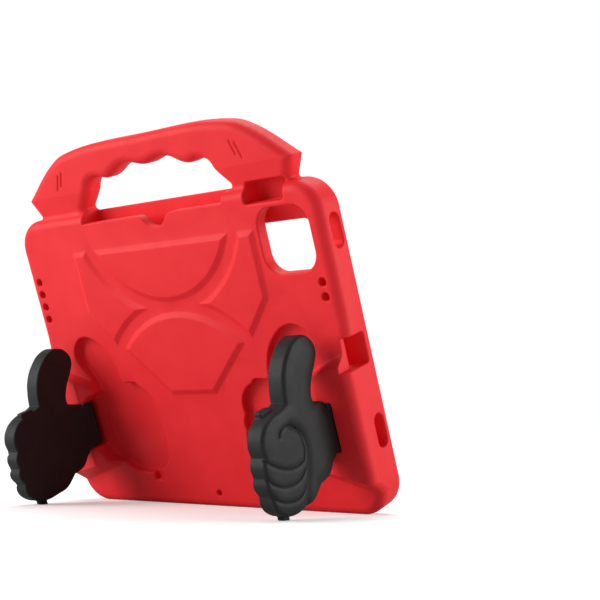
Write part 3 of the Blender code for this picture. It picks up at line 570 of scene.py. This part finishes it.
# The fist's outline as distance from the hinge, height up the back, and whether it is smooth there.
ARM_STRAIGHT = HUMP_RISE - HINGE_RISE + NOTCH_CLEARANCE
FIST = [
    (0.0, ARM_LOW, False),
    (ARM_STRAIGHT, ARM_LOW, False),
    (0.0126, 0.0412, True),
    (0.0170, 0.0366, True),
    (0.0215, 0.0349, True),
    (0.0272, 0.0342, False),
    (0.0312, 0.0310, True),
    (0.0365, 0.0278, True),
    (0.0440, 0.0268, True),
    (0.0580, 0.0272, True),
    (0.0665, 0.0318, True),
    (0.0705, 0.0380, True),
    (0.0703, 0.0443, False),
    (0.0728, 0.0500, True),
    (0.0713, 0.0556, False),
    (0.0718, 0.0615, True),
    (0.0692, 0.0670, False),
    (0.0698, 0.0740, True),
    (0.0660, 0.0817, True),
    (0.0578, 0.0868, True),
    (0.0470, 0.0885, True),
    (0.0425, 0.0900, False),
    (0.0412, 0.0985, True),
    (0.0378, 0.1082, True),
    (0.0305, 0.1172, True),
    (0.0225, 0.1222, True),
    (0.0140, 0.1226, True),
    (0.0070, 0.1175, True),
    (0.0049, 0.1105, True),
    (0.0078, 0.1040, True),
    (0.0142, 0.0955, True),
    (0.0180, 0.0870, True),
    (0.0178, 0.0825, False),
    (0.0120, 0.0805, True),
    (ARM_STRAIGHT, ARM_HIGH, False),
    (0.0, ARM_HIGH, False),
]

fist = drawn(FIST)
flat_fist = outside(fist, HINGE_X - side_x[:, :, 0], y[:, :, 0])[:, :, None]
recess = common(flat_fist - RECESS_CLEARANCE, -RECESS_DEPTH - z, RECESS_EDGE)
shell = cut(shell, recess, RECESS_EDGE)
notch = between(side_x, HINGE_X - NOTCH_INNER, HINGE_X + STAND_OUTER + NOTCH_CLEARANCE)
notch = np.maximum(notch, between(y, ARM_LOW - NOTCH_CLEARANCE, ARM_HIGH + NOTCH_CLEARANCE))
shell = cut(shell, np.maximum(notch, -NOTCH_DEPTH - z), NOTCH_EDGE)
foot_low = (HINGE_RISE + FOOT_NEAR) * LEAN_SLOPE - RECESS_CLEARANCE
foot = between(HINGE_X - side_x, FOOT_NEAR - RECESS_CLEARANCE, FOOT_FAR + RECESS_CLEARANCE)
foot = np.maximum(foot, between(y, foot_low, FOOT_TOP))
lug_notch_half = (LUG_FAR - LUG_NEAR) / 2 + LUG_NOTCH_SPARE
lug_x = HINGE_X - side_x - (LUG_NEAR + LUG_FAR) / 2
lug_y = y - LUG_TOP + LUG_NOTCH_DROP
lug = rounded(lug_x, lug_y, lug_notch_half, LUG_NOTCH_HALF, LUG_NOTCH_CORNER)
shell = cut(shell, np.maximum(np.minimum(foot, lug), OVERLAP - RECESS_DEPTH - z), LUG_NOTCH_EDGE)
bore = np.hypot(side_x - HINGE_X, z - HINGE_RISE) - PIN_BORE
shell = cut(shell, np.maximum(bore, between(y, ARM_LOW - PIN_REACH, ARM_HIGH + PIN_REACH)))
del recess, notch, foot, lug, bore

corner = (x_line[0], y_line[0], z_line[0])
foam = moulded("foam_skin", shell, corner, FOAM_VOXEL, FOAM_TRIANGLES, case_frame)
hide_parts("foam_shell")
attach(foam, "case")

# The part of a noise over which a colour and a gloss run from one end to the other.
MOTTLE_RANGE = (0.35, 0.65)
WEAR_RANGE = (0.30, 0.70)


def noise(nodes, scale, detail, roughness=0.5):
    """A noise texture whose scale is in waves a metre."""
    where = nodes.new("ShaderNodeTexCoord")
    texture = nodes.new("ShaderNodeTexNoise")
    texture.inputs["Scale"].default_value = scale
    texture.inputs["Detail"].default_value = detail
    texture.inputs["Roughness"].default_value = roughness
    nodes.id_data.links.new(where.outputs["Object"], texture.inputs["Vector"])
    return texture.outputs["Fac"]


def mottled(nodes, value, first, second):
    """The first colour where a value is low and the second where it is high."""
    ramp = nodes.new("ShaderNodeValToRGB")
    for end, position, colour in zip(ramp.color_ramp.elements, MOTTLE_RANGE, (first, second)):
        end.position = position
        end.color = (*colour, 1)
    nodes.id_data.links.new(value, ramp.inputs["Fac"])
    return ramp.outputs["Color"]


def surface(name, mottle, colours, wear, gloss, grain, relief, specular=0.5, metallic=0.0):
    """A material with mottled colour, uneven gloss and a fine grain. The mottle, the wear and the
    grain are noises by scale and detail, and the relief is the grain's strength and depth."""
    material = bpy.data.materials.new(name)
    material.use_nodes = True
    nodes, links = material.node_tree.nodes, material.node_tree.links
    shader = nodes["Principled BSDF"]
    shader.inputs["Specular IOR Level"].default_value = specular
    shader.inputs["Metallic"].default_value = metallic
    links.new(mottled(nodes, noise(nodes, *mottle), *colours), shader.inputs["Base Color"])
    uneven = nodes.new("ShaderNodeMapRange")
    uneven.inputs["From Min"].default_value = WEAR_RANGE[0]
    uneven.inputs["From Max"].default_value = WEAR_RANGE[1]
    uneven.inputs["To Min"].default_value = gloss[0]
    uneven.inputs["To Max"].default_value = gloss[1]
    links.new(noise(nodes, *wear), uneven.inputs["Value"])
    links.new(uneven.outputs["Result"], shader.inputs["Roughness"])
    bump = nodes.new("ShaderNodeBump")
    bump.inputs["Strength"].default_value = relief[0]
    bump.inputs["Distance"].default_value = relief[1]
    links.new(noise(nodes, *grain), bump.inputs["Height"])
    links.new(bump.outputs["Normal"], shader.inputs["Normal"])
    return material


# The foam is dyed right through. It takes the tool's fine satin grain, with faint mottling from the
# cells just under its skin.
foam.data.materials.append(surface(
    "red_moulded_foam",
    mottle=(60, 3),
    colours=((0.82, 0.022, 0.029), (0.86, 0.026, 0.033)),
    wear=(240, 4),
    gloss=(0.46, 0.56),
    grain=(1600, 5, 0.6),
    relief=(0.20, 0.0001),
    specular=0.16,
))

# Stands.
# Each stand is one solid moulding of dark plastic: a fist with its thumb up, a snap lug that holds
# it in the folded position, a small foot under the fist, and a rounded root on the hinge pin.
STAND_VOXEL = 0.00032
STAND_TRIANGLES = 80000
STAND_MARGIN = 0.0015
STAND_ACROSS = (-0.0072, 0.0748)
STAND_UP = (0.0215, 0.1242)
STAND_EDGE = 0.0020
STAND_BACK_EDGE = 0.0012
ROOT_ROUND = 0.0026
ROOT_REACH = 0.0070
ROOT_EDGE = 0.0010
FOOT_HALF = 0.0022
FOOT_INWARD = 0.0032
FOOT_EDGE = 0.0008
SOLE_EDGE = 0.0006
LUG_THICKNESS = 0.0050
LUG_INSET = 0.0005
LUG_CORNER = 0.0015
LUG_EDGE = 0.0010
LUG_FILLET = 0.0006
CROWN_SPARE = 0.0004
CREASE_DEPTH = 0.0008
CREASE_REACH = 0.0034
LINE_DEPTH = 0.0007
LINE_REACH = 0.0009
PALM_DEPTH = 0.0016
PALM_REACH = 0.0060
CROWN_DEPTH = 0.0014
CROWN_REACH = 0.0100

# The curl of the first finger, the creases between the fingers, and the fold of the palm.
CURL = [(0.0552, 0.0742), (0.0535, 0.0767), (0.0490, 0.0783), (0.0432, 0.0772), (0.0378, 0.0722)]
CURL += [(0.0352, 0.0650), (0.0362, 0.0580), (0.0390, 0.0540)]
FINGERS = [
    [(0.0390, 0.0540), (0.0462, 0.0530), (0.0560, 0.0555), (0.0650, 0.0610), (0.0700, 0.0655)],
    [(0.0396, 0.0480), (0.0475, 0.0446), (0.0585, 0.0456), (0.0670, 0.0500), (0.0715, 0.0545)],
    [(0.0420, 0.0385), (0.0495, 0.0352), (0.0580, 0.0360), (0.0655, 0.0393), (0.0705, 0.0435)],
]
PALM = [(0.0432, 0.0768), (0.0365, 0.0715), (0.0335, 0.0640), (0.0335, 0.0560), (0.0365, 0.0450)]
PALM += [(0.0408, 0.0350), (0.0440, 0.0240)]
ARM_FOLD = [(0.0112, 0.0840), (0.0104, 0.0765), (0.0106, 0.0720)]


def dip(distance, reach):
    """How deep a place lies in a fold: 1 in the fold's line, 0 beyond its reach."""
    return (1 - np.clip(distance / reach, 0, 1)) ** 2


def smooth_line(points):
    """Points along a smooth open line through the points given."""
    return drawn([(*point, True) for point in points], closed=False)


w_line = grid_lines(-STAND_INNER - STAND_MARGIN, STAND_OUTER + STAND_MARGIN, STAND_VOXEL)
v_line = grid_lines(*STAND_UP, STAND_VOXEL)
u_line = grid_lines(*STAND_ACROSS, STAND_VOXEL)
w = w_line[:, None, None]
v = v_line[None, :, None]
u = u_line[None, None, :]
flat_u, flat_v = u[0], v[0]

flat_stand = outside(fist, flat_u, flat_v)
crease_lines = [smooth_line(points) for points in [CURL] + FINGERS]
palm_line = smooth_line(PALM)
creases = np.minimum.reduce([nearest_on(line, flat_u, flat_v) for line in crease_lines])
outer_face = STAND_OUTER + CROWN_SPARE - CROWN_DEPTH * dip(-flat_stand, CROWN_REACH)
outer_face = outer_face - CREASE_DEPTH * dip(creases, CREASE_REACH)
outer_face = outer_face - LINE_DEPTH * dip(creases, LINE_REACH)
outer_face = outer_face - PALM_DEPTH * dip(nearest_on(palm_line, flat_u, flat_v), PALM_REACH)
outer_face = outer_face - LINE_DEPTH * dip(nearest_on(ARM_FOLD, flat_u, flat_v), 2 * LINE_REACH)
stand = common(flat_stand[None], w - outer_face[None], STAND_EDGE)
stand = common(stand, -STAND_INNER - w, STAND_BACK_EDGE)

root_inner = STAND_INNER - ROOT_ROUND
root_line = [(STAND_OUTER, ROOT_REACH)] + arc((0, 0), STAND_OUTER, 0, -90)
root_line += arc((-ROOT_ROUND, root_inner - STAND_OUTER), root_inner, -90, -180)
root_line += [(-STAND_INNER, ROOT_REACH)]
root = common(outside(root_line, w, u), between(v, ARM_LOW, ARM_HIGH), ROOT_EDGE)
stand = joined(stand, root)
sole = (v - LEAN_SLOPE * (HINGE_RISE + u)) * along_back.z + case_origin.z
foot = between(w, -FOOT_INWARD - FOOT_HALF, FOOT_HALF - FOOT_INWARD)
foot = common(between(u, FOOT_NEAR, FOOT_FAR), foot, FOOT_EDGE)
foot = common(common(foot, v - FOOT_TOP), -sole, SOLE_EDGE)
stand = joined(stand, foot, FOOT_EDGE)
lug_middle = ((LUG_NEAR + LUG_FAR) / 2, (LUG_BOTTOM + LUG_TOP) / 2)
lug_half = ((LUG_FAR - LUG_NEAR) / 2, (LUG_TOP - LUG_BOTTOM) / 2)
lug = rounded(u - lug_middle[0], v - lug_middle[1], *lug_half, LUG_CORNER)
lug_low = -STAND_INNER + LUG_INSET
lug = common(lug, between(w, lug_low, lug_low + LUG_THICKNESS), LUG_EDGE)
stand = joined(stand, lug, LUG_FILLET)
stand = cut(stand, np.hypot(w, u) - PIN_BORE)

# The plastic is satin and nearly black, with the grain of its tool.
plastic = surface(
    "charcoal_satin_plastic",
    mottle=(90, 2),
    colours=((0.022, 0.022, 0.0225), (0.026, 0.026, 0.0265)),
    wear=(500, 4),
    gloss=(0.44, 0.54),
    grain=(2400, 5, 0.6),
    relief=(0.20, 0.0001),
    specular=0.14,
)

for side, word in ((-1, "left"), (1, "right")):
    corner = (min(side * w_line[0], side * w_line[-1]), v_line[0], u_line[0])
    place = case_frame @ Matrix.Translation((side * HINGE_X, 0, HINGE_RISE))
    skin = f"{word}_stand_skin"
    piece = moulded(skin, stand[::side], corner, STAND_VOXEL, STAND_TRIANGLES, place)
    piece.data.materials.append(plastic)
    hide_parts(f"{word}_stand")
    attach(piece, f"{word}_stand")

# Hinge pins.
# Drawn steel wire, cut to length and pushed into blind bores in the foam. The wire is bare and a
# little uneven in tone, with fine marks from the die.
steel = surface(
    "drawn_steel_wire",
    mottle=(400, 3),
    colours=((0.50, 0.51, 0.52), (0.60, 0.61, 0.62)),
    wear=(1500, 3),
    gloss=(0.26, 0.36),
    grain=(3000, 3),
    relief=(0.15, 0.00005),
    metallic=1.0,
)
for word in ("left", "right"):
    pin = frame["nodes"][f"{word}_hinge_pin"]
    pin.data.materials.clear()
    pin.data.materials.append(steel)

# Floor and background.
# A white studio table that runs back out of sight, so that only the soft shadow shows where it is.
# The camera sees it a little brighter than the light that it throws back on the case.
FLOOR_REACH = 6.0
FLOOR_TONE = (0.50, 0.535, 0.535)
FLOOR_SEEN_TONE = (0.82, 0.90, 0.90)
FLOOR_GLOW = (0.34, 0.32, 0.32, 1)
FLOOR_ROUGHNESS = 0.7
FLOOR_SPECULAR = 0.1
SKY_LIGHT = 0.20

signs = ((-1, -1), (1, -1), (1, 1), (-1, 1))
corners = [(FLOOR_REACH * along, FLOOR_REACH * out, 0) for along, out in signs]
floor_mesh = bpy.data.meshes.new("studio_floor")
floor_mesh.from_pydata(corners, [], [(0, 1, 2, 3)])
floor = bpy.data.objects.new("studio_floor", floor_mesh)
bpy.context.scene.collection.objects.link(floor)
paper = bpy.data.materials.new("white_table")
paper.use_nodes = True
nodes, links = paper.node_tree.nodes, paper.node_tree.links
shader = nodes["Principled BSDF"]
shader.inputs["Roughness"].default_value = FLOOR_ROUGHNESS
shader.inputs["Specular IOR Level"].default_value = FLOOR_SPECULAR
glow = nodes.new("ShaderNodeEmission")
glow.inputs["Color"].default_value = FLOOR_GLOW
seen = nodes.new("ShaderNodeLightPath")
tone = mottled(nodes, seen.outputs["Is Camera Ray"], FLOOR_TONE, FLOOR_SEEN_TONE)
links.new(tone, shader.inputs["Base Color"])
both = nodes.new("ShaderNodeAddShader")
links.new(seen.outputs["Is Camera Ray"], glow.inputs["Strength"])
links.new(shader.outputs["BSDF"], both.inputs[0])
links.new(glow.outputs["Emission"], both.inputs[1])
links.new(both.outputs["Shader"], nodes["Material Output"].inputs["Surface"])
floor_mesh.materials.append(paper)

world = bpy.data.worlds.new("studio")
bpy.context.scene.world = world
world.use_nodes = True
nodes, links = world.node_tree.nodes, world.node_tree.links
seen = nodes.new("ShaderNodeLightPath")
level = nodes.new("ShaderNodeMapRange")
level.inputs["To Min"].default_value = SKY_LIGHT
level.inputs["To Max"].default_value = 1.0
links.new(seen.outputs["Is Camera Ray"], level.inputs["Value"])
links.new(level.outputs["Result"], nodes["Background"].inputs["Strength"])
nodes["Background"].inputs["Color"].default_value = (1, 1, 1, 1)

# Lamps.
# Two large soft boxes, one behind the case on its left and one out to its right, and a broad, very
# soft light from above that gives the floor an even white.
SOFT_BOXES = (
    ("left_soft_box", (-1.25, -1.45, 0.75), 1.5, 41),
    ("right_soft_box", (1.45, 0.85, 0.50), 1.0, 20),
)
SOFT_BOX_TARGET = Vector((0, 0, 0.11))
TOP_LIGHT = 2.1
TOP_LIGHT_SPREAD = math.radians(60)
TOP_LIGHT_TURN = (math.radians(-18), math.radians(-12), 0)

for name, place, size, power in SOFT_BOXES:
    lamp = bpy.data.lights.new(name, "AREA")
    lamp.size = size
    lamp.energy = power
    holder = bpy.data.objects.new(name, lamp)
    bpy.context.scene.collection.objects.link(holder)
    holder.location = place
    holder.rotation_euler = (SOFT_BOX_TARGET - Vector(place)).to_track_quat("-Z", "Y").to_euler()
above = bpy.data.lights.new("top_light", "SUN")
above.energy = TOP_LIGHT
above.angle = TOP_LIGHT_SPREAD
holder = bpy.data.objects.new("top_light", above)
bpy.context.scene.collection.objects.link(holder)
holder.rotation_euler = TOP_LIGHT_TURN

# Camera.
# A long lens behind the case and to its right, just above the table and tilted a little upwards.
CAMERA_LENS = 74.2
CAMERA_PLACE = (0.5744, -0.5798, 0.0573)
CAMERA_BEARING = math.radians(39.47)
CAMERA_TILT = math.radians(-5.57)

camera_data = bpy.data.cameras.new("camera")
camera_data.lens = CAMERA_LENS
camera = bpy.data.objects.new("camera", camera_data)
bpy.context.scene.collection.objects.link(camera)
level_reach = math.cos(CAMERA_TILT)
back = Vector((
    math.sin(CAMERA_BEARING) * level_reach,
    -math.cos(CAMERA_BEARING) * level_reach,
    math.sin(CAMERA_TILT),
))
camera.location = CAMERA_PLACE
camera.rotation_euler = (-back).to_track_quat("-Z", "Y").to_euler()
bpy.context.scene.camera = camera
bpy.context.scene.view_settings.view_transform = "Standard"
